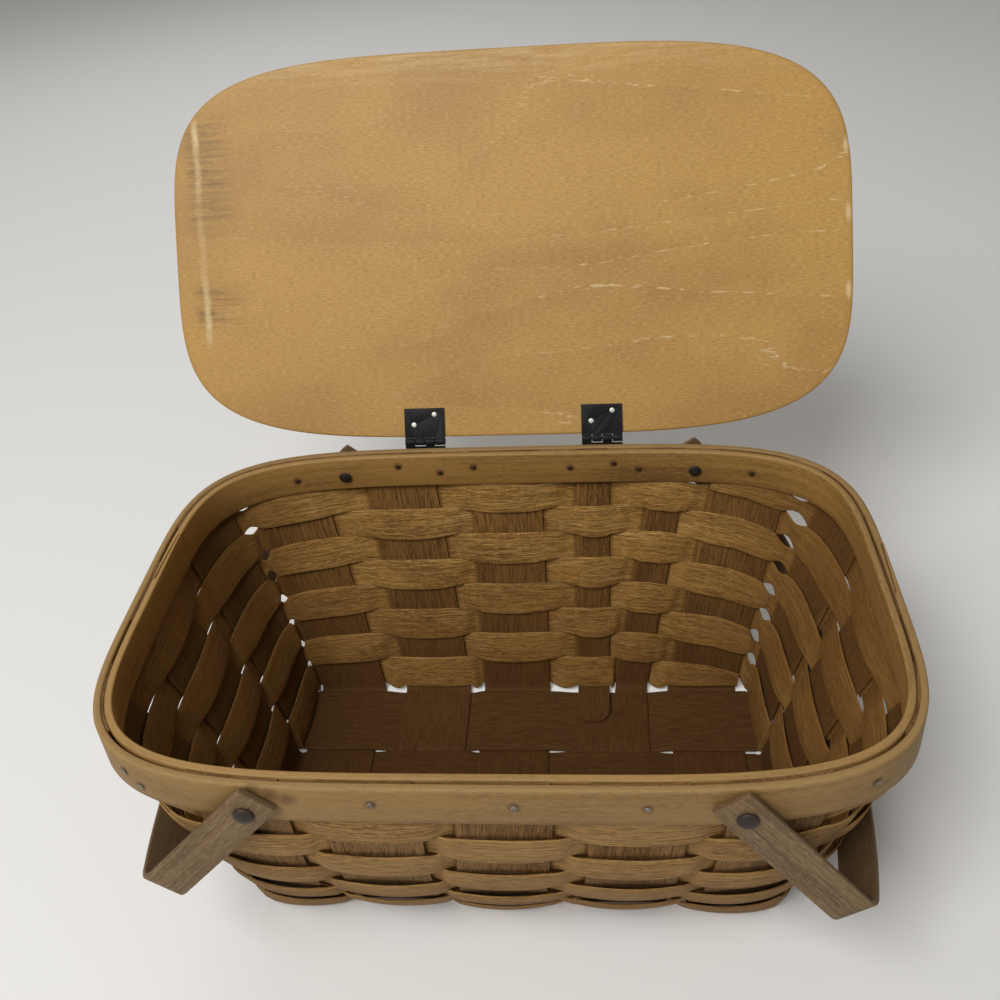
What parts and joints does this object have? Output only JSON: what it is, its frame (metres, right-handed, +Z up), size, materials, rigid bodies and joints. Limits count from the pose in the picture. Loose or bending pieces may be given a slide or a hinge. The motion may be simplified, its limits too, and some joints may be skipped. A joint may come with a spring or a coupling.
{
  "type": "splint picnic basket",
  "caption": "Rectangular woven splint picnic basket with a bent wooden rim, a flat lid on two small hinges and two swing handles of flat strap riveted to the rim.",
  "frame": {"origin": "on the ground, on the underside of the middle lengthwise splint, under the middle of the rim", "axes": "+X along the basket's length to the right as seen from the front, +Y to the hinged back, +Z up"},
  "size_m": [0.45, 0.3965, 0.4098],
  "materials": {
    "stake_splint": "dry brown split ash, matte",
    "weaver_splint": "dry tan-brown split ash with pale streaks, matte",
    "rim_band": "worn tan bent ash, matte",
    "lid_board": "honey-coloured board, light satin varnish",
    "handle_strap": "weathered grey-brown bent strap, matte",
    "hinge_metal": "worn black paint, satin",
    "nail_metal": "dull silvery steel",
    "rivet_metal": "dark tarnished steel"
  },
  "bodies": {
    "basket": {"crosswise_splint_1": "stake_splint", "crosswise_splint_2": "stake_splint", "crosswise_splint_3": "stake_splint", "crosswise_splint_4": "stake_splint", "crosswise_splint_5": "stake_splint", "lengthwise_splint_1": "stake_splint", "lengthwise_splint_2": "stake_splint", "lengthwise_splint_3": "stake_splint", "split_stake": "stake_splint", "weaver_1": "weaver_splint", "weaver_2": "weaver_splint", "weaver_3": "weaver_splint", "weaver_4": "weaver_splint", "weaver_5": "weaver_splint", "weaver_6": "weaver_splint", "weaver_7": "weaver_splint", "weaver_8": "weaver_splint", "rivet_back_left": "rivet_metal", "rivet_front_left": "rivet_metal", "rivet_back_right": "rivet_metal", "rivet_front_right": "rivet_metal", "outer_rim_nail_1": "nail_metal", "outer_rim_nail_2": "nail_metal", "outer_rim_nail_3": "nail_metal", "outer_rim_nail_4": "nail_metal", "outer_rim_nail_5": "nail_metal", "outer_rim_nail_6": "nail_metal", "inner_rim_nail_1": "nail_metal", "inner_rim_nail_2": "nail_metal", "inner_rim_nail_3": "nail_metal", "inner_rim_nail_4": "nail_metal", "inner_rim_nail_5": "nail_metal", "inner_rim_nail_6": "nail_metal", "inner_rim_nail_7": "nail_metal", "inner_rim_nail_8": "nail_metal", "rim_leaf_nail_left_1": "nail_metal", "rim_leaf_nail_left_2": "nail_metal", "hinge_rim_leaf_left": "hinge_metal", "hinge_pin_left": "hinge_metal", "rim_leaf_nail_right_1": "nail_metal", "rim_leaf_nail_right_2": "nail_metal", "hinge_rim_leaf_right": "hinge_metal", "hinge_pin_right": "hinge_metal", "outer_rim": "rim_band", "inner_rim": "rim_band"},
    "lid": {"lid_leaf_nail_left_1": "nail_metal", "lid_leaf_nail_left_2": "nail_metal", "hinge_lid_leaf_left": "hinge_metal", "lid_leaf_nail_right_1": "nail_metal", "lid_leaf_nail_right_2": "nail_metal", "hinge_lid_leaf_right": "hinge_metal", "lid": "lid_board"},
    "handle_left": {"handle_left": "handle_strap"},
    "handle_right": {"handle_right": "handle_strap"}
  },
  "joints": [
    {"name": "lid_hinge", "type": "hinge", "parent": "basket", "child": "lid", "pos_m": [0, 0.1343, 0.1814], "axis": [1, 0, 0], "range_deg": [0, 118]},
    {"name": "left_handle_swing", "type": "hinge", "parent": "basket", "child": "handle_left", "pos_m": [-0.117, 0, 0.1641], "axis": [0, 1, 0], "range_deg": [0, 183]},
    {"name": "right_handle_swing", "type": "hinge", "parent": "basket", "child": "handle_right", "pos_m": [0.117, 0, 0.1641], "axis": [0, -1, 0], "range_deg": [0, 187]}
  ]
}
